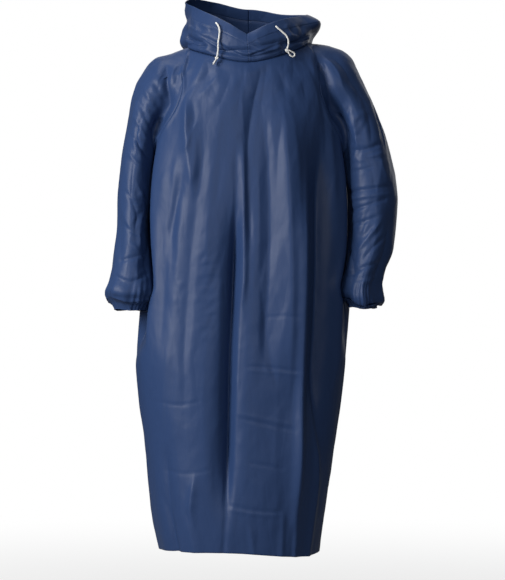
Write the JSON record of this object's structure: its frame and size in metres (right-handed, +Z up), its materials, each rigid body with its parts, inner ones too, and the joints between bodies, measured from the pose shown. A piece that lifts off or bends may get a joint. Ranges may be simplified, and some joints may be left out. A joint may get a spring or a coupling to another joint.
{
  "type": "raincoat",
  "caption": "Long pullover raincoat of thin plastic film, worn, with raglan sleeves, gathered cuffs, the hood pushed back and a white drawcord.",
  "frame": {"origin": "on the coat's centre line at shoulder height, where the wearer's shoulders carry it", "axes": "+Z up, the front faces -Y, the wearer's left side at +X"},
  "size_m": [0.6631, 0.3875, 1.2801],
  "materials": {
    "coat_film": "satin-gloss thin film",
    "hood_film": "satin-gloss thin film",
    "cord_cotton": "matt braided cord"
  },
  "bodies": {
    "root": {"front": "coat_film", "back": "coat_film", "sleeve_right": "coat_film", "sleeve_left": "coat_film", "cuff_right": "coat_film", "cuff_left": "coat_film", "hood_right": "hood_film", "hood_left": "hood_film", "drawcord_right": "cord_cotton", "drawcord_left": "cord_cotton", "cord_knot_right": "cord_cotton", "cord_knot_left": "cord_cotton", "cord_loop_right": "cord_cotton", "cord_loop_left": "cord_cotton"}
  },
  "joints": []
}
